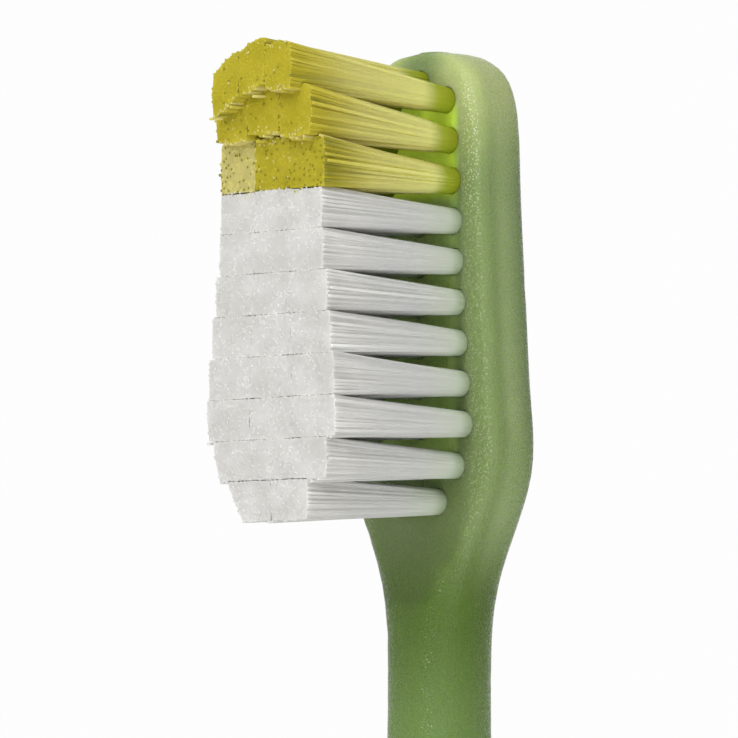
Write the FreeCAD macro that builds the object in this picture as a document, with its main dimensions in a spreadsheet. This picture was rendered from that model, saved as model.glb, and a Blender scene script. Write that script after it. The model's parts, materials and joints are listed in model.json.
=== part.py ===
import FreeCAD, Part
import math
import os

import Sketcher
from FreeCAD import Rotation, Vector

# A manual toothbrush lying on the flat of its handle, in millimetres.
# X runs along the brush to the toe, with zero at the middle of the length.
# Z stands out of the bristle face, with zero at the surface that the brush lies on.

# Driving dimensions
SIZES = {
    "overall_length": 180.0,
    "face_height": 6.1,
    "head_length": 33.4,
    "head_half_width": 5.56,
    "head_thickness": 3.9,
    "face_edge_radius": 0.85,
    "back_edge_radius": 1.3,
    "neck_half_width": 2.76,
    "neck_crown": 1.0,
    "neck_belly": 4.25,
    "grip_half_width": 5.9,
    "grip_crown": 2.9,
    "rest_flat_depth": 0.35,
    "first_row_inset": 2.8,
    "row_pitch": 2.2,
    "row_bulge": 1.0,
    "hole_radius": 0.75,
    "hole_depth": 2.9,
    "tuft_clearance": 0.015,
    "free_length": 11.3,
    "toe_rise": 1.6,
    "tip_half_depth": 1.065,
    "tip_gap": 0.07,
    "tip_lean": 1.0,
    "anchor_width": 1.85,
    "anchor_height": 1.3,
    "anchor_thickness": 0.25,
    "anchor_rise": 0.45,
    "anchor_clearance": 0.01,
    "cut_overrun": 2.0,
}

# Sections of the head from the toe to the narrow of the neck: share of the head's length,
# of its half width, of the rounding-off of its thickness, and of the change into the neck.
HEAD_SECTION_SHARES = (
    (0.000, 0.150, 1.00, 0.00),
    (0.006, 0.360, 0.56, 0.00),
    (0.018, 0.530, 0.27, 0.00),
    (0.038, 0.655, 0.10, 0.00),
    (0.066, 0.738, 0.02, 0.00),
    (0.105, 0.795, 0.00, 0.00),
    (0.190, 0.828, 0.00, 0.00),
    (0.310, 0.862, 0.00, 0.00),
    (0.460, 0.920, 0.00, 0.00),
    (0.570, 0.965, 0.00, 0.00),
    (0.640, 0.998, 0.00, 0.00),
    (0.690, 0.970, 0.00, 0.00),
    (0.745, 0.858, 0.00, 0.03),
    (0.805, 0.700, 0.00, 0.20),
    (0.865, 0.574, 0.00, 0.55),
    (0.930, 0.510, 0.00, 0.88),
)
NOSE_FACE_SHARE = 0.14
NOSE_BACK_SHARE = 0.46

# Sections of the handle from the narrow of the neck to the butt: share of its length,
# of the change from neck to grip in width, crown and belly, and of its full girth.
HANDLE_SECTION_SHARES = (
    (0.000, 0.00, 0.00, 0.00, 1.00),
    (0.050, 0.02, 0.06, 0.03, 1.00),
    (0.115, 0.14, 0.20, 0.20, 1.00),
    (0.200, 0.45, 0.50, 0.62, 1.00),
    (0.285, 0.82, 0.84, 0.92, 1.00),
    (0.370, 1.00, 1.00, 1.00, 1.00),
    (0.470, 0.92, 0.96, 1.00, 1.00),
    (0.580, 0.74, 0.82, 1.00, 1.00),
    (0.700, 0.76, 0.80, 1.00, 1.00),
    (0.820, 0.86, 0.84, 1.00, 1.00),
    (0.910, 0.86, 0.78, 1.00, 1.00),
    (0.958, 0.78, 0.70, 1.00, 0.90),
    (0.983, 0.72, 0.60, 0.98, 0.72),
    (0.996, 0.70, 0.55, 0.96, 0.42),
    (1.000, 0.70, 0.55, 0.95, 0.16),
)
NECK_ROUND_SHARE = 0.93
GRIP_ROUND_SHARE = 0.80
CORNER_LIMIT_SHARE = 0.90

# Tuft rows from the toe: columns, reach of the outer holes and of the tips' outer rim as shares
# of the head's half width, bulge of the middle hole towards the toe, lean to the toe of the outer
# tips and of the middle one, rise of the tips, and the step from the row before.
ROW_SHARES = (
    (3, 0.353, 0.513, 1.00, 1.00, 0.50, 1.00, 0.00),
    (3, 0.394, 0.619, 0.45, 0.70, 0.50, 0.44, 1.00),
    (3, 0.425, 0.675, 0.15, 0.17, 0.12, 0.00, 1.00),
    (3, 0.444, 0.640, 0.00, 0.00, 0.00, 0.00, 1.00),
    (3, 0.461, 0.655, 0.00, 0.00, 0.00, 0.00, 1.00),
    (3, 0.486, 0.705, 0.00, 0.00, 0.00, 0.00, 1.00),
    (3, 0.514, 0.755, 0.00, 0.00, 0.00, 0.00, 1.00),
    (3, 0.546, 0.795, 0.00, 0.00, 0.00, 0.00, 1.00),
    (3, 0.580, 0.815, 0.00, 0.00, 0.00, 0.00, 1.00),
    (3, 0.475, 0.700, 0.00, 0.00, 0.00, 0.00, 1.00),
    (2, 0.242, 0.460, 0.00, -0.20, 0.00, 0.00, 0.87),
)
COLUMN_LETTERS = "abc"
QUARTER_TURN = math.pi / 2

doc = FreeCAD.newDocument("toothbrush")


# A length that keeps the sheet's expression beside its present value
class Measure:
    def __init__(self, text, value):
        self.text = text
        self.value = value

    def __add__(self, other):
        return Measure("(%s + %s)" % (self.text, other.text), self.value + other.value)

    def __sub__(self, other):
        return Measure("(%s - %s)" % (self.text, other.text), self.value - other.value)

    def __mul__(self, share):
        return Measure("(%s * %.4f)" % (self.text, share), self.value * share)

    def towards(self, other, share):
        return self + (other - self) * share

    def at_most(self, other):
        text = "min(%s; %s)" % (self.text, other.text)
        return Measure(text, min(self.value, other.value))


# The sheet of driving dimensions, and each of them as a measure
def make_sheet():
    sheet = doc.addObject("Spreadsheet::Sheet", "sizes")
    for line, (name, value) in enumerate(SIZES.items(), start=1):
        sheet.set("A%d" % line, name)
        sheet.set("B%d" % line, str(value))
        sheet.setAlias("B%d" % line, name)
    doc.recompute()
    return {name: Measure("sizes.%s" % name, float(sheet.get(name))) for name in SIZES}


size = make_sheet()
face = size["face_height"]
toe = size["overall_length"] * 0.5
NOTHING = face * 0


def bind(thing, prop, measure):
    thing.setExpression(prop, measure.text)


def origin_plane(body, role):
    for feature in body.Origin.OriginFeatures:
        if feature.Role == role:
            return feature


def place(thing, x, y, z):
    bind(thing, "Placement.Base.x", x)
    bind(thing, "Placement.Base.y", y)
    bind(thing, "Placement.Base.z", z)


# A rounded rectangle across the brush, flat on top and below, with its corners as arcs
def add_section(body, name, along, half_width, top, bottom, top_corner, bottom_corner):
    sketch = body.newObject("Sketcher::SketchObject", name)
    sketch.AttachmentSupport = [(origin_plane(body, "YZ_Plane"), "")]
    sketch.MapMode = "FlatFace"
    bind(sketch, "AttachmentOffset.Base.z", along)
    w, high, low = half_width.value, top.value, bottom.value
    rt, rb = top_corner.value, bottom_corner.value

    def line(x1, y1, x2, y2):
        return sketch.addGeometry(Part.LineSegment(Vector(x1, y1, 0), Vector(x2, y2, 0)))

    def corner(x, y, radius, turns):
        circle = Part.Circle(Vector(x, y, 0), Vector(0, 0, 1), radius)
        return sketch.addGeometry(Part.ArcOfCircle(circle, QUARTER_TURN * turns, QUARTER_TURN * (turns + 1)))

    chain = (
        line(w, low + rb, w, high - rt),
        corner(w - rt, high - rt, rt, 0),
        line(w - rt, high, rt - w, high),
        corner(rt - w, high - rt, rt, 1),
        line(-w, high - rt, -w, low + rb),
        corner(rb - w, low + rb, rb, 2),
        line(rb - w, low, w - rb, low),
        corner(w - rb, low + rb, rb, 3),
    )
    right, top_right, crown, top_left, left, low_left, belly, low_right = chain
    for here, after in zip(chain, chain[1:] + chain[:1]):
        sketch.addConstraint(Sketcher.Constraint("Tangent", here, 2, after, 1))
    for side in (right, left):
        sketch.addConstraint(Sketcher.Constraint("Vertical", side))
    for level in (crown, belly):
        sketch.addConstraint(Sketcher.Constraint("Horizontal", level))
    sketch.addConstraint(Sketcher.Constraint("Equal", top_right, top_left))
    sketch.addConstraint(Sketcher.Constraint("Equal", low_left, low_right))
    held = (
        (Sketcher.Constraint("DistanceX", -1, 1, right, 1, w), half_width),
        (Sketcher.Constraint("DistanceX", left, 1, -1, 1, w), half_width),
        (Sketcher.Constraint("DistanceY", -1, 1, crown, 1, high), top),
        (Sketcher.Constraint("DistanceY", -1, 1, belly, 1, low), bottom),
        (Sketcher.Constraint("Radius", top_right, rt), top_corner),
        (Sketcher.Constraint("Radius", low_left, rb), bottom_corner),
    )
    for constraint, measure in held:
        index = sketch.addConstraint(constraint)
        sketch.setExpression("Constraints[%d]" % index, measure.text)
    return sketch


def corner_for(wanted, half_width, top, bottom):
    half_height = (top - bottom) * 0.5
    return wanted.at_most(half_width * CORNER_LIMIT_SHARE).at_most(half_height * CORNER_LIMIT_SHARE)


def neck_corner():
    girth = size["neck_crown"] + size["neck_belly"]
    return size["neck_half_width"].at_most(girth * 0.5) * NECK_ROUND_SHARE


def head_sections():
    for along, width, nose, neck in HEAD_SECTION_SHARES:
        x = toe - size["head_length"] * along
        half_width = size["head_half_width"] * width
        thick = size["head_thickness"]
        top = face + size["neck_crown"] * neck - thick * (nose * NOSE_FACE_SHARE)
        bottom = face - thick.towards(size["neck_belly"], neck) + thick * (nose * NOSE_BACK_SHARE)
        top_corner = size["face_edge_radius"].towards(neck_corner(), neck)
        bottom_corner = size["back_edge_radius"].towards(neck_corner(), neck)
        yield (
            x,
            half_width,
            top,
            bottom,
            corner_for(top_corner, half_width, top, bottom),
            corner_for(bottom_corner, half_width, top, bottom),
        )


def handle_sections():
    start = toe - size["head_length"]
    length = size["overall_length"] - size["head_length"]
    grip_belly = face + size["rest_flat_depth"]
    for along, width, crown, belly, girth in HANDLE_SECTION_SHARES:
        x = start - length * along
        half_width = size["neck_half_width"].towards(size["grip_half_width"], width)
        full_top = face + size["neck_crown"].towards(size["grip_crown"], crown)
        full_bottom = face - size["neck_belly"].towards(grip_belly, belly)
        middle = full_top.towards(full_bottom, 0.5)
        top = middle.towards(full_top, girth)
        bottom = middle.towards(full_bottom, girth)
        half_width = half_width * girth
        half_height = (top - bottom) * 0.5
        wanted = half_height * (NECK_ROUND_SHARE + (GRIP_ROUND_SHARE - NECK_ROUND_SHARE) * width)
        corner = wanted.at_most(half_width * NECK_ROUND_SHARE)
        yield x, half_width, top, bottom, corner, corner


# Tufts as a row number, a name, the hole's centre, and the tip's centre, height and half width
def tuft_places():
    places = []
    x = toe - size["first_row_inset"]
    for row, shares in enumerate(ROW_SHARES, start=1):
        columns, reach_share, rim_share, bulge, lean, middle_lean, rise, step = shares
        x = x - size["row_pitch"] * step
        reach = size["head_half_width"] * reach_share
        tip_room = size["head_half_width"] * (rim_share / columns)
        tip_height = face + size["free_length"] + size["toe_rise"] * rise
        for column in range(columns):
            across_share = 2 * column / (columns - 1) - 1
            middle_share = 1 - abs(across_share)
            root_x = x + size["row_bulge"] * (bulge * middle_share)
            tip_x = root_x + size["tip_lean"] * (lean + (middle_lean - lean) * middle_share)
            tip_y = tip_room * ((columns - 1) * across_share)
            name = "%02d_%s" % (row, COLUMN_LETTERS[column])
            root = (root_x, reach * across_share)
            tip = (tip_x, tip_y, tip_height, tip_room - size["tip_gap"] * 0.5)
            places.append((row, name, root, tip))
    return places


TUFTS = tuft_places()
hole_floor = face - size["hole_depth"]
anchor_floor = hole_floor + size["anchor_rise"]


# The handle, neck and head: one moulding, with a flat to lie on, blind holes and anchor slots
def make_skin(body):
    sections = list(head_sections()) + list(handle_sections())
    sketches = [add_section(body, "section_%02d" % i, *s) for i, s in enumerate(sections, start=1)]
    doc.recompute()
    skin = body.newObject("PartDesign::AdditiveLoft", "skin")
    skin.Profile = sketches[0]
    skin.Sections = sketches[1:]
    skin.Ruled = False


def level_sketch(body, name, height):
    sketch = body.newObject("Sketcher::SketchObject", name)
    sketch.AttachmentSupport = [(origin_plane(body, "XY_Plane"), "")]
    sketch.MapMode = "FlatFace"
    bind(sketch, "AttachmentOffset.Base.z", height)
    return sketch


def hold(sketch, constraint, measure):
    index = sketch.addConstraint(constraint)
    sketch.setExpression("Constraints[%d]" % index, measure.text)


def draw_rectangle(sketch, x, y, half_length, half_width):
    west, east = x - half_length, x + half_length
    south, north = y - half_width, y + half_width
    corners = ((west, south), (east, south), (east, north), (west, north))
    points = [Vector(cx.value, cy.value, 0) for cx, cy in corners]
    edges = []
    for here, after in zip(points, points[1:] + points[:1]):
        edges.append(sketch.addGeometry(Part.LineSegment(here, after)))
    for here, after in zip(edges, edges[1:] + edges[:1]):
        sketch.addConstraint(Sketcher.Constraint("Coincident", here, 2, after, 1))
    for edge in edges[0::2]:
        sketch.addConstraint(Sketcher.Constraint("Horizontal", edge))
    for edge in edges[1::2]:
        sketch.addConstraint(Sketcher.Constraint("Vertical", edge))
    for edge, (cx, cy) in ((edges[0], corners[0]), (edges[2], corners[2])):
        hold(sketch, Sketcher.Constraint("DistanceX", -1, 1, edge, 1, cx.value), cx)
        hold(sketch, Sketcher.Constraint("DistanceY", -1, 1, edge, 1, cy.value), cy)


def cut_down(body, name, sketch, depth):
    before = body.Shape.Volume
    pocket = body.newObject("PartDesign::Pocket", name)
    pocket.Profile = sketch
    bind(pocket, "Length", depth)
    doc.recompute()
    if body.Shape.Volume >= before:
        raise RuntimeError("%s cuts nothing" % name)


def cut_rest_flat(body):
    sketch = level_sketch(body, "rest_outline", NOTHING)
    half_width = size["grip_half_width"] + size["cut_overrun"]
    draw_rectangle(sketch, NOTHING, NOTHING, toe, half_width)
    cut_down(body, "rest_flat", sketch, size["rest_flat_depth"] + size["cut_overrun"])


def cut_tuft_holes(body):
    sketch = level_sketch(body, "hole_places", face + size["cut_overrun"])
    for row, name, root, tip in TUFTS:
        centre = Vector(root[0].value, root[1].value, 0)
        circle = Part.Circle(centre, Vector(0, 0, 1), size["hole_radius"].value)
        ring = sketch.addGeometry(circle)
        hold(sketch, Sketcher.Constraint("DistanceX", -1, 1, ring, 3, centre.x), root[0])
        hold(sketch, Sketcher.Constraint("DistanceY", -1, 1, ring, 3, centre.y), root[1])
        hold(sketch, Sketcher.Constraint("Radius", ring, circle.Radius), size["hole_radius"])
    cut_down(body, "tuft_holes", sketch, size["hole_depth"] + size["cut_overrun"])


def make_handle():
    moulding = doc.addObject("PartDesign::Body", "moulding")
    make_skin(moulding)
    doc.recompute()
    cut_rest_flat(moulding)
    cut_tuft_holes(moulding)
    slots = doc.addObject("Part::Compound", "anchor_slots")
    slots.Links = [make_plate("slot_" + t[1], t[2], size["anchor_clearance"]) for t in TUFTS]
    handle = doc.addObject("Part::Cut", "handle")
    handle.Base = moulding
    handle.Tool = slots
    return handle


# An anchor wire, the flat staple driven into a hole over the folded filaments, or, with slack,
# the slot that it bites into the walls of the hole
def make_plate(name, root, slack):
    plate = doc.addObject("Part::Box", name)
    length = size["anchor_width"] + slack * 2
    thickness = size["anchor_thickness"] + slack * 2
    bind(plate, "Length", length)
    bind(plate, "Width", thickness)
    bind(plate, "Height", size["anchor_height"] + slack * 2)
    place(plate, root[0] - length * 0.5, root[1] - thickness * 0.5, anchor_floor - slack)
    return plate


# A tuft: filaments folded in half round their anchor, packed round in the hole and fanned out
# to a flat-trimmed tip
def make_ring(name, x, y, z, half_length, half_width):
    ring = doc.addObject("Part::Ellipse", name)
    across = half_width.value > half_length.value
    longer, shorter = (half_width, half_length) if across else (half_length, half_width)
    bind(ring, "MajorRadius", longer)
    bind(ring, "MinorRadius", shorter)
    place(ring, x, y, z)
    return ring, across


def make_tuft(name, root, tip):
    gap = size["tuft_clearance"]
    radius = size["hole_radius"] - gap
    tip_x, tip_y, tip_height, tip_half_width = tip
    foot, turned = make_ring("foot_" + name, root[0], root[1], hole_floor + gap, radius, radius)
    collar, turned = make_ring("collar_" + name, root[0], root[1], face, radius, radius)
    end, turned = make_ring("tip_" + name, tip_x, tip_y, tip_height, size["tip_half_depth"], tip_half_width)
    for ring in (foot, collar, end):
        if turned:
            ring.Placement.Rotation = Rotation(Vector(0, 0, 1), 90)
    bundle = doc.addObject("Part::Loft", "bundle_" + name)
    bundle.Sections = [foot, collar, end]
    bundle.Solid = True
    bundle.Ruled = True
    tuft = doc.addObject("Part::Cut", "tuft_row_" + name)
    tuft.Base = bundle
    tuft.Tool = make_plate("window_" + name, root, size["anchor_clearance"])
    return tuft


def make_bristles():
    pieces = []
    anchors = {}
    for row, name, root, tip in TUFTS:
        pieces.append(make_tuft(name, root, tip))
        anchors.setdefault(row, []).append(make_plate("anchor_" + name, root, NOTHING))
    for row, group in anchors.items():
        wires = doc.addObject("Part::Compound", "anchors_row_%02d" % row)
        wires.Links = group
        pieces.append(wires)
    return pieces


# Everything is built, checked and written, one file for each sub-part
def write(pieces):
    doc.recompute()
    for thing in doc.Objects:
        if "Invalid" in thing.State or "Error" in thing.State:
            raise RuntimeError("%s failed" % thing.Name)
    os.makedirs("parts", exist_ok=True)
    for piece in pieces:
        shape = piece.Shape
        if shape.isNull() or not shape.isValid():
            raise RuntimeError("%s has no valid shape" % piece.Label)
        shape.exportStep("parts/%s.step" % piece.Label)
        print("%s: %d solid(s), %.2f cubic mm" % (piece.Label, len(shape.Solids), shape.Volume))


write([make_handle()] + make_bristles())
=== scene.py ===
"""A manual toothbrush seen close on its head: a matte green moulding with yellow and white bristles."""

import json
import math
import random

import bmesh
import bpy
import numpy as np
from mathutils import Matrix, Vector

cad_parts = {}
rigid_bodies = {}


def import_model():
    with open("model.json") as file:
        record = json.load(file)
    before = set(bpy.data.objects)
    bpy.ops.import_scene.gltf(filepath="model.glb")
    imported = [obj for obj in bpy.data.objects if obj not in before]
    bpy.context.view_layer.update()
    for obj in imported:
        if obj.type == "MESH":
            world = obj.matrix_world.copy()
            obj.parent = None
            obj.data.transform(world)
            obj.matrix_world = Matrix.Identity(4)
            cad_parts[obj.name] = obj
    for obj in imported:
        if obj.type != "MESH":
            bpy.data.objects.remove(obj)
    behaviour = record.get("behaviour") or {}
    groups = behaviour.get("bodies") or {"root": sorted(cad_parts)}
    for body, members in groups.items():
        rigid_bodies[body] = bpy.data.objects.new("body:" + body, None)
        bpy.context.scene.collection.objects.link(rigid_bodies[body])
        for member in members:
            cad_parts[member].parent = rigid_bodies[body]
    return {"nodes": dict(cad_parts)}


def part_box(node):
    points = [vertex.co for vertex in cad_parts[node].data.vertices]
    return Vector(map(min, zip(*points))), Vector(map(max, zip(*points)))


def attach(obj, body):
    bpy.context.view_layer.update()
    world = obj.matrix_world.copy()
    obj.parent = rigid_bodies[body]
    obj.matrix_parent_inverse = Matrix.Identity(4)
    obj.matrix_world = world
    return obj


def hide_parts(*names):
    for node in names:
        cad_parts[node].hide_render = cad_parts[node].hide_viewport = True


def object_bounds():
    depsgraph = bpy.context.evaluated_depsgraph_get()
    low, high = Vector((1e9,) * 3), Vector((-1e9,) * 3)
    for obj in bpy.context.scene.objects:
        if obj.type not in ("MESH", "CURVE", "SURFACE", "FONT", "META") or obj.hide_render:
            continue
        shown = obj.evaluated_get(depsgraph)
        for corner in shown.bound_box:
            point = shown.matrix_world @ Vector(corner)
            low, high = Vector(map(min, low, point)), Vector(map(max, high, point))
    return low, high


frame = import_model()
cad_box = [list(corner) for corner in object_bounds()]
nodes = frame["nodes"]
random.seed(11)

MM = 0.001
TUFT_NODES = sorted(name for name in nodes if name.startswith("tuft_row_"))
ANCHOR_NODES = sorted(name for name in nodes if name.startswith("anchors_row_"))
YELLOW_ROWS = (1, 2, 3)

# Points closer than this are taken as one, or as lying at the same height
TOUCHING = 0.001 * MM

# The heights that the bristles follow. Those of the tips and of the holes' floor are the frame's
FACE_HEIGHT = 6.1 * MM
TIP_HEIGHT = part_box(TUFT_NODES[-1])[1].z
HOLE_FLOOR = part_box(TUFT_NODES[0])[0].z
FREE_LENGTH = TIP_HEIGHT - FACE_HEIGHT
WHOLE_LENGTH = TIP_HEIGHT - HOLE_FLOOR
ANCHOR_TOP = FACE_HEIGHT - 1.15 * MM
ANCHOR_HALF_THICKNESS = 0.135 * MM

# Filaments, and where they bend in shares of their free length
FILAMENT_RADIUS = 0.085 * MM
FILAMENT_SIDES = 6
BEND_SHARES = (0.30, 0.66)
END_ROUNDING = 0.014 * MM
END_INSET = 1.4 * END_ROUNDING
CUT_END_DEPTH = 1.5 * END_ROUNDING

# How filaments are packed in a tuft: a rank round the outside and the rest in a spiral inside it
FILAMENTS_ROUND_TUFT = 58
FILAMENTS_INSIDE_TUFT = 170
INSIDE_SPREAD = 0.95
PACKING_SHARES = (0.95, 0.98)
GOLDEN_TURN = math.pi * (3 - math.sqrt(5))

# The body that stands for a tuft's mass of filaments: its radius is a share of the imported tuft's
CORE_SIDES = 32
CORE_SHARE = 0.99
CORE_DEPTH = 0.014 * MM

# Edges sharper than these angles stay sharp, and the skin's large faces weigh most in its normals
SKIN_ANGLE = math.radians(35)
CORE_ANGLE = math.radians(60)
FILAMENT_ANGLE = math.radians(80)
SKIN_NORMAL_WEIGHT = 90

# All tips flare out past the solids
TIP_FLARE = 1.045

# Tips by row: spread along the brush, shift towards the toe and squareness
ROW_TIPS = {1: (1.15, -0.22 * MM, 0.7), 2: (1.28, 0.0, 0.7), 3: (1.24, 0.0, 0.9)}
USUAL_TIPS = (0.988, 0.0, 0.94)

# Toe tufts whose tips lean back towards the handle: from where across the brush, and how steeply
LEANING_TIPS = {"tuft_row_01_b": (-0.9 * MM, 0.4), "tuft_row_01_c": (0.9 * MM, 0.64)}

# Far tufts by the neck, whose outer tips slant in: how far across for each length along
SLANTED_TIPS = {"tuft_row_09_c": 0.1, "tuft_row_10_c": 0.26, "tuft_row_11_b": 0.62}

# How a tuft is frayed: how far its tips wander, how many stray and how far, how short some are,
# and how far the tips on the far side of the brush lean outwards
FRAY = {
    "yellow": {
        "wander": 0.06 * MM,
        "strays": 8,
        "stray_reach": 0.35 * MM,
        "short": 0.022 * MM,
        "drift": 0.1 * MM,
    },
    "white": {
        "wander": 0.045 * MM,
        "strays": 5,
        "stray_reach": 0.3 * MM,
        "short": 0.04 * MM,
        "drift": 0.3 * MM,
    },
}

# Tips this far out on the near side don't drift, and tips as far out on the far side drift fully
DRIFT_HALF_WIDTH = 3.5 * MM

# Filaments further towards the toe than this share of a tuft's radius don't stray
LOOSE_SIDE = 0.3
STRAY_SHARES = (0.3, 1)

# Filaments bow by a share of their wander, and fall short by so many times the usual at most
BOW_SHARE = 0.5
MOST_SHORT = 4
AT_TIP = 0.99

# Shares of a tuft's filaments that are painted pale, and that have their ends painted dark as painted
# shade, where light runs down the filament
PALE_AND_SHADED_SHARES = {
    "tuft_row_03_c": (0.55, 0.40),
    "tuft_row_03_b": (0.08, 0.30),
    "tuft_row_03_a": (0.02, 0.42),
    "tuft_row_02_c": (0.12, 0.05),
}
USUAL_PALE_AND_SHADED_SHARES = (0.015, 0.03)
MOSTLY_PALE = 0.5

# Rows with many pale filaments along their edge to the toe (1) or the handle (-1), and what share
PALE_EDGES = {1: {1: 0.3, -1: 0.6}, 2: {-1: 0.75}, 3: {1: 0.8}}
EDGE_OF_TUFT = 0.7
PALE_TONE, MID_TONE, SHADED_TONE = 0.1, 0.5, 0.9

# How the nylon's shader reads a filament's tone: pale, or an end painted dark as painted shade
READ_AS_PALE = (0.3, 0.2)
READ_AS_SHADED = (0.7, 0.8)

# How far up a filament the nylon turns clear, and how clear and how rough it is
CLEAR_REACH = (0.24, 0.35)
ROOT_CLARITY, NYLON_CLARITY = 0.45, 0.55
CUT_CLOUDING = 0.3
NYLON_ROUGHNESS, STREAK_ROUGHNESS, CUT_ROUGHNESS = 0.3, 0.2, 0.4
FILAMENT_STREAKS = (0.35, 0.7)

# Pattern scales: how many features they have in a metre
CLOUD_SCALE = 170.0
GRAIN_SCALE = 8000.0
SPECK_SCALE = 6500.0
SPARKLE_SCALE = 8800.0
FILAMENT_STREAK_SCALE = 1400.0
CUT_PATCH_SCALE = 700.0
WIRE_STREAK_SCALE = 9000.0

# The middle of the values that a noise pattern has, where it turns from one tone to the other
MID_NOISE = (0.35, 0.65)

# Where the green changes tone along the brush, from where to where. These bands also place painted
# light and shade, the painted glow and the painted glints along it
GRIP_TO_NECK = (52 * MM, 60 * MM)
NECK_TO_HEAD = (59.5 * MM, 65.5 * MM)
SHOULDER_LIGHT_FADE = (70 * MM, 65 * MM)
RIM_SHADE_BY_TOE = (66 * MM, 76 * MM)
TOE_PAINTED_LIGHT = (82 * MM, 89 * MM)
YELLOW_ROOTS = (81.5 * MM, 82.5 * MM)
MORE_GLINTS_BY_TOE = (78 * MM, 87 * MM)

# Where it changes across the brush, from the middle plane
CROWN_TO_SIDE = (0.2 * MM, 2.4 * MM)
GLINTS_ACROSS = (2.9 * MM, 3.5 * MM)

# Where it changes with height
SHADED_EDGE_TO_HEAD = (2.6 * MM, 4.6 * MM)
HEAD_TO_SHADED_RIM = (4.6 * MM, 5.6 * MM)
SHOULDER_LIGHT_HEIGHT = (FACE_HEIGHT, 4.6 * MM)
TOP_SHADE_HEIGHT = (2.2 * MM, 3.7 * MM)
GLINTS_HEIGHT = (5.8 * MM, 6.0 * MM)

# The field of the tufts on the bristle face, where painted light brightens the green
FIELD_START, FIELD_END = 66.5 * MM, 86.6 * MM
FIELD_HALF_WIDTH = 2.3 * MM
FIELD_EDGE = 0.8 * MM

# The skin of the moulding: painted light on the shoulder, painted glints, roughness and bump, and the
# painted glow between the yellow roots
SHOULDER_LIGHT_SHARE = 0.45
GLINTS_SHARE, GLINTS_ADDED_BY_TOE = 0.2, 0.36
GLINTS_NOISE = (0.55, 0.68)
SKIN_ROUGHNESS, SPECK_SMOOTHING = 0.52, 0.33
SPECK_NOISE = (0.45, 0.55)
SPECK_HEIGHT = 0.5
SKIN_BUMP, SKIN_BUMP_DEPTH = 0.9, 0.03 * MM
NO_GLOW, ROOT_PAINTED_GLOW = (0, 0, 0, 1), (0.12, 0.15, 0.012, 1)

# Camera: 43.5 degrees off the bristle face's normal, a little towards the handle
VIEW_OFF_NORMAL = math.radians(43.5)
VIEW_TO_HANDLE = math.radians(3.7)
VIEW_DISTANCE = 330 * MM
VIEW_AIM = Vector((72.71, 1.82, 8.10)) * MM
VIEW_WIDTH = 39.91 * MM
SENSOR_WIDTH = 36.0
NEAR_CLIP, FAR_CLIP = 0.1, 100

# Lamps: the direction they hang in from the head, their size and level
LAMPS = {
    "key_lamp": ((0.75, -0.15, 0.8), 0.3, 0.23),
    "spark_lamp": ((0.35, -0.1, 0.93), 0.025, 0.17),
    "toe_lamp": ((0.9, -0.5, 0.15), 0.4, 0.24),
    "viewer_lamp": ((-0.15, -0.69, 0.68), 0.4, 0.17),
    "handle_lamp": ((-0.75, -0.55, 0.4), 0.4, 0.3),
}
LAMP_DISTANCE = 0.6
WORLD_LEVEL = 0.44
FLOOR_SIZE = 6.0
FLOOR_WHITENESS = 0.98


# Colours are written as they are seen, 0 to 255, and turned linear here
def seen(red, green, blue):
    shares = (red / 255, green / 255, blue / 255)
    linear = [s / 12.92 if s <= 0.04045 else ((s + 0.055) / 1.055) ** 2.4 for s in shares]
    return (*linear, 1.0)


class Wire:
    """A socket in a node tree. Sums written with it add Math nodes, and node() adds any other."""

    def __init__(self, tree, socket=None):
        self.tree = tree
        self.socket = socket

    def node(self, kind, settings, sockets, output=0):
        made = self.tree.nodes.new("ShaderNode" + kind)
        for name, value in settings.items():
            if name == "stops":
                ramp = made.color_ramp
                while len(ramp.elements) < len(value):
                    ramp.elements.new(1.0)
                for element, (place, colour) in zip(ramp.elements, value):
                    element.position = place
                    element.color = colour
            else:
                setattr(made, name, value)
        for name, value in sockets.items():
            if isinstance(value, Wire):
                self.tree.links.new(value.socket, made.inputs[name])
            else:
                made.inputs[name].default_value = value
        return Wire(self.tree, made.outputs[output])

    def maths(self, operation, *values):
        return self.node("Math", {"operation": operation}, dict(enumerate(values)))

    def __add__(self, other):
        return self.maths("ADD", self, other)

    def __sub__(self, other):
        return self.maths("SUBTRACT", self, other)

    def __rsub__(self, other):
        return self.maths("SUBTRACT", other, self)

    def __mul__(self, other):
        return self.maths("MULTIPLY", self, other)

    __radd__ = __add__
    __rmul__ = __mul__

    def unsigned(self):
        return self.maths("ABSOLUTE", self)

    def larger(self, other):
        return self.maths("MAXIMUM", self, other)

    def between(self, low, high):
        """0 at low, 1 at high and an eased rise between them."""
        sockets = {"Value": self, "From Min": low, "From Max": high}
        return self.node("MapRange", {"interpolation_type": "SMOOTHSTEP"}, sockets)

    def blend(self, first, second):
        """A colour that goes from first to second as this value goes from 0 to 1."""
        return self.node("Mix", {"data_type": "RGBA"}, {0: self, 6: first, 7: second}, output=2)


def new_material(name, constants):
    """A material with its constants set on the shader's own sockets, and a wire to build on."""
    material = bpy.data.materials.new(name)
    material.use_nodes = True
    tree = material.node_tree
    shader = tree.nodes["Principled BSDF"]
    for socket, value in constants.items():
        shader.inputs[socket].default_value = value
    return material, Wire(tree), shader


def feed(wire, shader, socket):
    wire.tree.links.new(wire.socket, shader.inputs[socket])


def noise(start, place, scale, detail):
    return start.node("TexNoise", {}, {"Vector": place, "Scale": scale, "Detail": detail})


def mix_shaders(start, factor, first, second):
    """What the material shows: first where the factor is 0 and second where it is 1."""
    mixed = start.node("MixShader", {}, {0: factor, 1: first, 2: second})
    feed(mixed, start.tree.nodes["Material Output"], "Surface")
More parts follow.
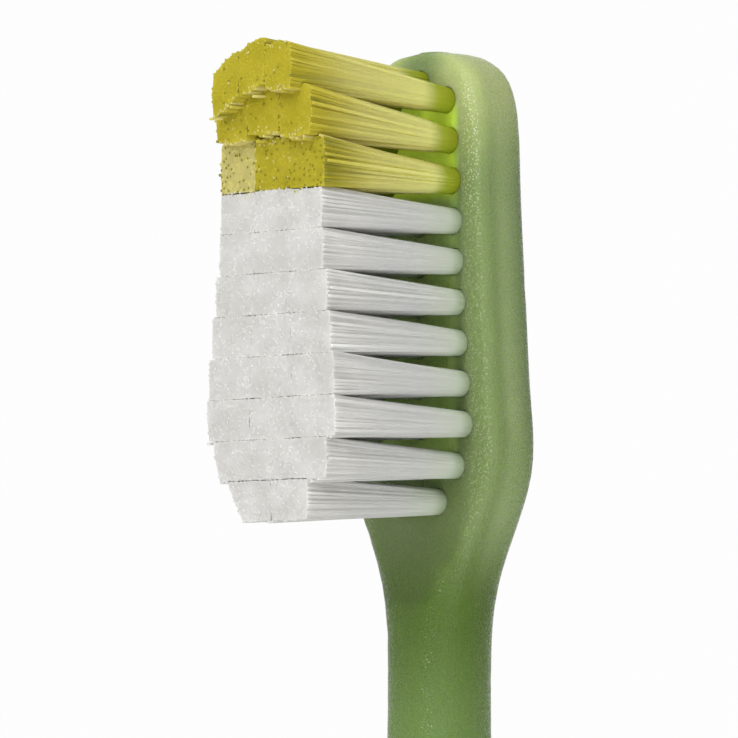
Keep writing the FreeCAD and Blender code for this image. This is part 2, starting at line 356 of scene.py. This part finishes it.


# The moulding's green, with painted light and shade: paler where the plastic is thin, as in the head,
# and deeper in the neck, which is also painted shadow of the bristles
def moulding_tones_and_painted_light(cloud, along, across, height):
    patchy = cloud.between(*MID_NOISE)
    head = patchy.blend(seen(146, 168, 105), seen(156, 176, 117))
    # The neck's deeper green is partly the thick plastic and partly painted shadow of the bristles
    neck = patchy.blend(seen(122, 151, 68), seen(130, 158, 78))
    # Painted shade: the tops of the neck and the grip are painted darker; on the neck it stands for the
    # bristles' shadow
    shaded_neck_top = patchy.blend(seen(85, 113, 31), seen(92, 119, 39))
    # Painted shade: the head's top band and the bristle face around the tufts are painted darker, most
    # towards the handle
    shaded_rim = along.between(*RIM_SHADE_BY_TOE).blend(seen(125, 145, 89), seen(129, 149, 93))
    shaded_edge, lit_shoulder, lit_toe = seen(107, 129, 77), seen(162, 184, 122), seen(183, 195, 132)
    grip, shaded_grip_top = seen(135, 162, 92), seen(113, 142, 73)
    # Painted shade: the head is painted darker towards its lower edge
    head = height.between(*SHADED_EDGE_TO_HEAD).blend(shaded_edge, head)
    head = height.between(*HEAD_TO_SHADED_RIM).blend(head, shaded_rim)
    # Painted light: the shoulder's lower side, towards the neck, is painted lighter
    shoulder_light = along.between(*SHOULDER_LIGHT_FADE) * height.between(*SHOULDER_LIGHT_HEIGHT) * SHOULDER_LIGHT_SHARE
    head = shoulder_light.blend(head, lit_shoulder)
    # Painted light: towards the toe the head's sides are painted lighter, for light from the toe
    toe_light = along.between(*TOE_PAINTED_LIGHT) * across.between(*CROWN_TO_SIDE)
    head = toe_light.blend(head, lit_toe)
    top_shade = height.between(*TOP_SHADE_HEIGHT)
    neck, grip = top_shade.blend(neck, shaded_neck_top), top_shade.blend(grip, shaded_grip_top)
    colour = along.between(*NECK_TO_HEAD).blend(neck, head)
    return along.between(*GRIP_TO_NECK).blend(grip, colour)


# Matte translucent green plastic. The moulding's spark-eroded skin has a fine grain that glints, and
# painted light, shade and highlights in its colour
def green_plastic():
    constants = {
        "Subsurface Weight": 0.75,
        "Subsurface Radius": (0.9, 1.2, 0.35),
        "Subsurface Scale": 1.6 * MM,
        "IOR": 1.49,
        "Specular IOR Level": 0.28,
        "Emission Strength": 1.0,
    }
    material, start, shader = new_material("matte_green_plastic", constants)
    place = start.node("TexCoord", {}, {}, output="Object")
    along, aside, height = [
        start.node("SeparateXYZ", {}, {"Vector": place}, output=axis) for axis in ("X", "Y", "Z")
    ]
    across = aside.unsigned()
    grain = start.node("TexVoronoi", {"feature": "F1"}, {"Vector": place, "Scale": GRAIN_SCALE})
    speck = noise(start, place, SPECK_SCALE, 1.0)
    sparkle = noise(start, place, SPARKLE_SCALE, 1.0)
    colour = moulding_tones_and_painted_light(noise(start, place, CLOUD_SCALE, 2.0), along, across, height)
    # Painted light between the tufts: the face there is painted brighter, deeper and yellower, for
    # light that has passed through nylon and plastic
    yellow_root_light = along.between(*YELLOW_ROOTS)
    lit_field = along.between(FIELD_START, FIELD_START + FIELD_EDGE)
    lit_field = lit_field * along.between(FIELD_END + FIELD_EDGE, FIELD_END)
    lit_field = lit_field * across.between(FIELD_HALF_WIDTH + FIELD_EDGE, FIELD_HALF_WIDTH)
    colour = lit_field.blend(colour, yellow_root_light.blend(seen(198, 238, 130), seen(204, 255, 74)))
    # Painted highlights: along the edge of the bristle face, pale specks are painted into the colour
    # for single grains that catch the light, more towards the toe
    glint_mask = height.between(*GLINTS_HEIGHT) * across.between(*GLINTS_ACROSS)
    glint_mask = glint_mask * (along.between(*MORE_GLINTS_BY_TOE) * GLINTS_ADDED_BY_TOE + GLINTS_SHARE)
    colour = (sparkle.between(*GLINTS_NOISE) * glint_mask).blend(colour, seen(244, 250, 218))
    feed(colour, shader, "Base Color")
    # Painted glow: emission between the yellow roots stands for light carried along in the clear yellow
    # nylon and the thin toe
    feed((lit_field * yellow_root_light).blend(NO_GLOW, ROOT_PAINTED_GLOW), shader, "Emission Color")
    feed(SKIN_ROUGHNESS - speck.between(*SPECK_NOISE) * SPECK_SMOOTHING, shader, "Roughness")
    relief = grain + speck * SPECK_HEIGHT
    bump = {"Height": relief, "Strength": SKIN_BUMP, "Distance": SKIN_BUMP_DEPTH}
    feed(start.node("Bump", {}, bump), shader, "Normal")
    return material


# Nylon filament: clear enough that light passes on from one to the next, with rough cut ends
def nylon(name, along, cut, lit_patch, pale, shaded_end, passed):
    material, start, shader = new_material(name, {"IOR": 1.53, "Specular IOR Level": 0.35})

    def painted(label):
        return start.node("Attribute", {"attribute_name": label}, {}, output="Fac")

    reach, dye, cut_end = painted("reach"), painted("dye"), painted("cut_end")
    place = start.node("TexCoord", {}, {}, output="Object")
    streak = noise(start, place, FILAMENT_STREAK_SCALE, 2.0)
    patch = noise(start, place, CUT_PATCH_SCALE, 3.0)
    free = reach.between(*CLEAR_REACH)
    body = start.node("ValToRGB", {"stops": along}, {"Fac": reach})
    body = (dye.between(*READ_AS_PALE) * free).blend(body, pale)
    # Painted shade: ends in the shaded tone are painted dark, for light that runs down the filament and
    # leaves its end dark
    end = dye.between(*READ_AS_SHADED).blend(patch.between(*MID_NOISE).blend(cut, lit_patch), shaded_end)
    end = dye.between(*READ_AS_PALE).blend(end, pale)
    feed(cut_end.blend(body, end), shader, "Base Color")
    roughness = streak.between(*FILAMENT_STREAKS) * STREAK_ROUGHNESS + cut_end * CUT_ROUGHNESS
    feed(roughness + NYLON_ROUGHNESS, shader, "Roughness")
    clear = free * (NYLON_CLARITY - ROOT_CLARITY) + ROOT_CLARITY
    clear = clear * (1.0 - cut_end * CUT_CLOUDING)
    glow = start.node("BsdfTranslucent", {}, {"Color": passed})
    mix_shaders(start, clear, Wire(start.tree, shader.outputs[0]), glow)
    return material


def yellow_nylon():
    along = (
        # Painted light and shade: towards the hole's floor the nylon is painted darker and greener, for
        # shade in the hole and green light from the plastic
        (0.20, seen(164, 178, 28)),
        (0.28, seen(192, 206, 56)),
        (0.35, seen(250, 250, 192)),
        (0.68, seen(239, 235, 167)),
        (0.88, seen(231, 222, 117)),
        (1.0, seen(214, 199, 56)),
    )
    # Painted light: a lighter tone in soft patches over the cut ends, for the soft shading across the
    # tips
    mustard, lit_patch = seen(201, 188, 42), seen(211, 198, 54)
    # The olive end colour is painted shade
    pale, shaded_olive, passed = seen(232, 221, 142), seen(132, 128, 14), seen(254, 253, 200)
    return nylon("yellow_nylon", along, mustard, lit_patch, pale, shaded_olive, passed)


def white_nylon():
    along = (
        # Painted light and shade: towards the hole's floor the white nylon is painted greener and
        # greyer, for shade in the hole and green light from the plastic
        (0.20, seen(186, 204, 160)),
        (0.27, seen(236, 242, 229)),
        (0.5, seen(238, 238, 237)),
        (1.0, seen(241, 240, 237)),
    )
    # Painted light: a lighter tone in soft patches over the cut ends, for the soft shading across the
    # tips
    cut, lit_patch = seen(233, 232, 228), seen(244, 243, 240)
    # The grey end colour is painted shade
    white, shaded_grey = seen(254, 254, 253), seen(232, 230, 226)
    return nylon("white_nylon", along, cut, lit_patch, white, shaded_grey, white)


# Anchor wire: drawn brass, streaked along its length
def brass():
    material, start, shader = new_material("drawn_brass", {"Metallic": 1.0})
    place = start.node("TexCoord", {}, {}, output="Object")
    stretched = start.node("Mapping", {}, {"Vector": place, "Scale": (0.08, 1.0, 1.0)})
    streak = noise(start, stretched, WIRE_STREAK_SCALE, 3.0)
    feed(streak.blend(seen(176, 148, 84), seen(216, 192, 126)), shader, "Base Color")
    feed(streak * 0.25 + 0.25, shader, "Roughness")
    return material


# Everything is deselected before an operator runs, because it acts on all that is selected
def deselect():
    for thing in bpy.data.objects:
        thing.select_set(False)


def choose(*things):
    deselect()
    for thing in things:
        thing.select_set(True)
    bpy.context.view_layer.objects.active = things[0]


def finish_piece(piece, material, slot, *replaced):
    piece.data.materials.clear()
    piece.data.materials.append(material)
    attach(piece, "root")
    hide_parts(*replaced)


# The moulding's skin: the CAD node's triangles merged and shaded smooth
def model_moulding(material):
    source = nodes["handle"]
    piece = source.copy()
    piece.data = source.data.copy()
    piece.name = "moulding_skin"
    bpy.context.collection.objects.link(piece)
    choose(piece)
    bpy.ops.mesh.customdata_custom_splitnormals_clear()
    bpy.ops.object.mode_set(mode="EDIT")
    bpy.ops.mesh.select_all(action="SELECT")
    bpy.ops.mesh.remove_doubles(threshold=TOUCHING)
    bpy.ops.object.mode_set(mode="OBJECT")
    bpy.ops.object.shade_smooth_by_angle(angle=SKIN_ANGLE)
    bpy.ops.object.modifier_add(type="WEIGHTED_NORMAL")
    weighted = piece.modifiers[0]
    weighted.keep_sharp = True
    weighted.weight = SKIN_NORMAL_WEIGHT
    bpy.ops.object.modifier_apply(modifier=weighted.name)
    finish_piece(piece, material, "handle_plastic", "handle")


def add_rod(name, sides, radius, bottom, top):
    """An upright cylinder with rings of points where filaments part, leave the hole and bend."""
    deselect()
    bpy.ops.mesh.primitive_cylinder_add(
        vertices=sides, radius=radius, depth=top - bottom, location=(0, 0, (bottom + top) / 2)
    )
    rod = bpy.context.object
    rod.name = name
    bpy.ops.object.transform_apply(location=True, rotation=False, scale=False)
    bpy.ops.object.mode_set(mode="EDIT")
    bends = [FACE_HEIGHT + FREE_LENGTH * share for share in BEND_SHARES]
    for height in (ANCHOR_TOP, FACE_HEIGHT, *bends):
        bpy.ops.mesh.select_all(action="SELECT")
        bpy.ops.mesh.bisect(plane_co=(0, 0, height), plane_no=(0, 0, 1), threshold=TOUCHING)
    bpy.ops.object.mode_set(mode="OBJECT")
    return rod


# One filament: a six-sided rod that stands on the hole's floor, its end rounded
def model_filament():
    rod = add_rod("filament", FILAMENT_SIDES, FILAMENT_RADIUS, HOLE_FLOOR, TIP_HEIGHT)
    bpy.ops.object.mode_set(mode="EDIT")
    bpy.ops.mesh.select_all(action="DESELECT")
    edited = bmesh.from_edit_mesh(rod.data)
    for face in edited.faces:
        face.select_set(face.calc_center_median().z > TIP_HEIGHT - TOUCHING)
    bmesh.update_edit_mesh(rod.data)
    bpy.ops.mesh.inset(thickness=END_INSET)
    bpy.ops.mesh.select_all(action="DESELECT")
    edited = bmesh.from_edit_mesh(rod.data)
    for vertex in edited.verts:
        wide = vertex.co.xy.length > FILAMENT_RADIUS - END_ROUNDING
        vertex.select_set(wide and vertex.co.z > TIP_HEIGHT - TOUCHING)
    bmesh.update_edit_mesh(rod.data)
    bpy.ops.transform.translate(value=(0, 0, -END_ROUNDING))
    bpy.ops.object.mode_set(mode="OBJECT")
    bpy.ops.object.shade_smooth_by_angle(angle=FILAMENT_ANGLE)
    paint(rod, TIP_HEIGHT - CUT_END_DEPTH)
    return rod


# The mass of filaments inside a tuft, too close together to see between: one body, round as the
# hole below, which the ranks of filaments cover and stand out of
def model_core():
    top = TIP_HEIGHT - CORE_DEPTH
    core = add_rod("core", CORE_SIDES, CORE_SHARE, ANCHOR_TOP + CORE_DEPTH, top)
    bpy.ops.object.shade_smooth_by_angle(angle=CORE_ANGLE)
    paint(core, top - END_ROUNDING / 2)
    return core


def paint(thing, end_height):
    """How far up each point lies, from 0 at the hole's floor to 1 at the tip, its cut end and its tone.
    """
    points = positions(thing.data)
    values = {
        "reach": (points[:, 2] - HOLE_FLOOR) / WHOLE_LENGTH,
        "cut_end": (points[:, 2] > end_height).astype(float),
        "dye": np.full(len(points), MID_TONE),
    }
    for name, column in values.items():
        thing.data.attributes.new(name, "FLOAT", "POINT").data.foreach_set("value", column)


def positions(mesh):
    points = np.empty(len(mesh.vertices) * 3)
    mesh.vertices.foreach_get("co", points)
    return points.reshape(-1, 3)


def ring_of(points, height):
    """Centre and half extents, across X and Y, of a tuft's ring at a height."""
    ring = points[abs(points[:, 2] - height) < 2 * TOUCHING][:, :2]
    low, high = ring.min(axis=0), ring.max(axis=0)
    return (low + high) / 2, (high - low) / 2


def packing():
    """Each filament's place in a round tuft, in shares of its radius: a rank round the outside,
    and the rest spread evenly inside it."""
    for count in range(FILAMENTS_ROUND_TUFT):
        turn = count * 2 * math.pi / FILAMENTS_ROUND_TUFT
        yield np.array((math.cos(turn), math.sin(turn)))
    for count in range(FILAMENTS_INSIDE_TUFT):
        spread = INSIDE_SPREAD * math.sqrt((count + 0.5) / FILAMENTS_INSIDE_TUFT)
        turn = count * GOLDEN_TURN
        yield np.array((math.cos(turn), math.sin(turn))) * spread


def row_of(name):
    return int(name.split("_")[2])


def tone_and_shade_of(name, unit):
    """A filament's tone: pale in some, and in others its end painted dark as painted shade."""
    pale_share, shaded_share = PALE_AND_SHADED_SHARES.get(name, USUAL_PALE_AND_SHADED_SHARES)
    if abs(unit[0]) > EDGE_OF_TUFT:
        edge_shares = PALE_EDGES.get(row_of(name), {})
        pale_share = max(pale_share, edge_shares.get(int(math.copysign(1, unit[0])), 0))
    drawn = random.random()
    if drawn < pale_share:
        return PALE_TONE
    return SHADED_TONE if drawn > 1 - shaded_share else MID_TONE


def scatter(reach):
    """A random offset along X and Y."""
    return np.array((random.gauss(0, 1), random.gauss(0, 1))) * reach


def placed_copy(thing, points, dye):
    """A copy with its own mesh, points and dye."""
    copy = thing.copy()
    copy.data = thing.data.copy()
    copy.data.vertices.foreach_set("co", points.ravel())
    copy.data.attributes["dye"].data.foreach_set("value", np.full(len(points), dye))
    bpy.context.collection.objects.link(copy)
    return copy


def tip_finder(name, tip, tip_half, drift):
    """A function that says where a place in the round tuft comes out at its tip, which is squarer."""
    spread, shift, squareness = ROW_TIPS.get(row_of(name), USUAL_TIPS)
    lean_start, steepness = LEANING_TIPS.get(name, (0, 0))
    slant = SLANTED_TIPS.get(name, 0)

    def fanned(unit):
        squared = unit * (np.linalg.norm(unit) / abs(unit).max()) ** squareness
        there = tip + squared * tip_half * (TIP_FLARE * spread, TIP_FLARE) + (shift, 0)
        there[1] += drift * np.clip(there[1] / (2 * DRIFT_HALF_WIDTH) + 0.5, 0, 1)
        there[0] -= steepness * max(there[1] - lean_start, 0)
        there[1] += slant * (unit[1] + 1) / 2 * (there[0] - tip[0])
        return there

    return fanned


# A tuft: filaments packed in the hole, parted by the anchor and fanned out to the trimmed tip
def model_tuft(rod, core, name, material, colour):
    points = positions(nodes[name].data)
    root, root_half = ring_of(points, FACE_HEIGHT)
    tip_height = points[:, 2].max()
    tip, tip_half = ring_of(points, tip_height)
    packed = root_half - FILAMENT_RADIUS
    clearance = ANCHOR_HALF_THICKNESS + FILAMENT_RADIUS
    toe_limit = cad_box[1][0] - 2 * FILAMENT_RADIUS
    fray = FRAY[colour]
    fanned = tip_finder(name, tip, tip_half, fray["drift"])
    straight = positions(rod.data)
    heights = straight[:, 2].copy()
    added = (tip_height - FACE_HEIGHT) / FREE_LENGTH - 1
    straight[:, 2] += np.clip(heights - FACE_HEIGHT, 0, None) * added
    fan = np.clip((heights - FACE_HEIGHT) / FREE_LENGTH, 0, 1)
    parted = np.clip((FACE_HEIGHT - heights) / (FACE_HEIGHT - ANCHOR_TOP), 0, 1)
    places = list(packing())
    loose = [count for count, unit in enumerate(places) if unit[0] < LOOSE_SIDE]
    strays = set(random.sample(loose, fray["strays"]))
    copies = []
    for count, unit in enumerate(places):
        unit = unit * random.uniform(*PACKING_SHARES)
        here = root + unit * packed
        side = math.copysign(1, unit[1])
        aside = side * (clearance + abs(unit[1]) * (packed[1] - clearance)) - unit[1] * packed[1]
        wander = scatter(fray["wander"])
        if count in strays:
            wander += unit * fray["stray_reach"] * random.uniform(*STRAY_SHARES)
        there = fanned(unit) + wander
        there[0] = min(there[0], toe_limit)
        bow = scatter(fray["wander"]) * BOW_SHARE
        moved = straight.copy()
        moved[:, :2] += here + np.outer(fan, there - here) + np.outer(np.sin(math.pi * fan), bow)
        moved[:, 1] += parted * aside
        short = abs(random.gauss(0, 1)) * fray["short"]
        moved[:, 2] -= np.where(fan > AT_TIP, min(short, MOST_SHORT * fray["short"]), 0)
        copies.append(placed_copy(rod, moved, tone_and_shade_of(name, unit)))
    points = positions(core.data)
    for point in points:
        share = min(max((point[2] - FACE_HEIGHT) / FREE_LENGTH, 0), 1)
        point[:2] = (root + point[:2] * packed) * (1 - share) + fanned(point[:2]) * share
        point[2] += max(point[2] - FACE_HEIGHT, 0) * added
    is_pale = PALE_AND_SHADED_SHARES.get(name, USUAL_PALE_AND_SHADED_SHARES)[0] > MOSTLY_PALE
    copies.append(placed_copy(core, points, PALE_TONE if is_pale else MID_TONE))
    choose(*copies)
    bpy.ops.object.join()
    piece = bpy.context.object
    piece.name = name.replace("tuft", "bristles")
    finish_piece(piece, material, colour + "_filament", name)


def model_bristles():
    rod, core = model_filament(), model_core()
    materials = {"yellow": yellow_nylon(), "white": white_nylon()}
    for name in TUFT_NODES:
        colour = "yellow" if row_of(name) in YELLOW_ROWS else "white"
        model_tuft(rod, core, name, materials[colour], colour)
    bpy.data.objects.remove(rod)
    bpy.data.objects.remove(core)


def dress_anchors():
    material = brass()
    for name in ANCHOR_NODES:
        nodes[name].data.materials.clear()
        nodes[name].data.materials.append(material)


# What the camera sees, or sees in a reflection or through something clear, has a white background
def sees_white(start):
    rays = ("Is Camera Ray", "Is Glossy Ray", "Is Transmission Ray")
    camera, glossy, clear = [start.node("LightPath", {}, {}, output=ray) for ray in rays]
    return camera.larger(glossy).larger(clear)


# The floor that the brush lies on: white to the camera, with the brush's soft shadow left on it
def lay_floor():
    deselect()
    bpy.ops.mesh.primitive_plane_add(size=FLOOR_SIZE, location=(0, 0, 0))
    floor = bpy.context.object
    floor.name = "floor"
    constants = {"Roughness": 0.9, "Base Color": seen(140, 140, 140)}
    material, start, shader = new_material("white_floor", constants)
    white = start.node("Emission", {}, {"Color": (1, 1, 1, 1), "Strength": 1.0})
    lit = Wire(start.tree, shader.outputs[0])
    mix_shaders(start, sees_white(start) * FLOOR_WHITENESS, lit, white)
    floor.data.materials.append(material)


# Even light all round, which the camera sees as white
def light_world():
    world = bpy.data.worlds.new("studio")
    bpy.context.scene.world = world
    world.use_nodes = True
    background = world.node_tree.nodes["Background"]
    background.inputs["Color"].default_value = (1, 1, 1, 1)
    strength = sees_white(Wire(world.node_tree)) * (1.0 - WORLD_LEVEL) + WORLD_LEVEL
    feed(strength, background, "Strength")


def hang_lamp(name, direction, size, level):
    """A square soft lamp. A white matte surface that faces it alone would render at its level."""
    data = bpy.data.lights.new(name, "AREA")
    data.shape = "SQUARE"
    data.size = size
    data.energy = level * (math.pi * LAMP_DISTANCE) ** 2
    lamp = bpy.data.objects.new(name, data)
    bpy.context.collection.objects.link(lamp)
    away = Vector(direction).normalized()
    lamp.location = VIEW_AIM + away * LAMP_DISTANCE
    lamp.rotation_mode = "QUATERNION"
    lamp.rotation_quaternion = away.to_track_quat("Z", "Y")


def set_camera():
    level = math.cos(VIEW_TO_HANDLE)
    towards = Vector(
        (
            -math.sin(VIEW_TO_HANDLE),
            -math.sin(VIEW_OFF_NORMAL) * level,
            math.cos(VIEW_OFF_NORMAL) * level,
        )
    )
    upwards = Vector((1, 0, 0))
    upwards = (upwards - towards * upwards.dot(towards)).normalized()
    data = bpy.data.cameras.new("camera")
    data.sensor_width = SENSOR_WIDTH
    data.lens = SENSOR_WIDTH * VIEW_DISTANCE / VIEW_WIDTH
    data.clip_start = VIEW_DISTANCE * NEAR_CLIP
    data.clip_end = VIEW_DISTANCE * FAR_CLIP
    camera = bpy.data.objects.new("camera", data)
    bpy.context.collection.objects.link(camera)
    turned = Matrix((upwards.cross(towards), upwards, towards)).transposed()
    camera.matrix_world = Matrix.Translation(VIEW_AIM + towards * VIEW_DISTANCE) @ turned.to_4x4()
    bpy.context.scene.camera = camera


model_moulding(green_plastic())
model_bristles()
dress_anchors()
lay_floor()
light_world()
for lamp_name, (direction, size, level) in LAMPS.items():
    hang_lamp(lamp_name, direction, size, level)
set_camera()
scene = bpy.context.scene
scene.view_settings.view_transform = "Standard"
# Light passes from filament to filament many times over
scene.cycles.max_bounces = 40
scene.cycles.diffuse_bounces = 32
scene.cycles.transmission_bounces = 40
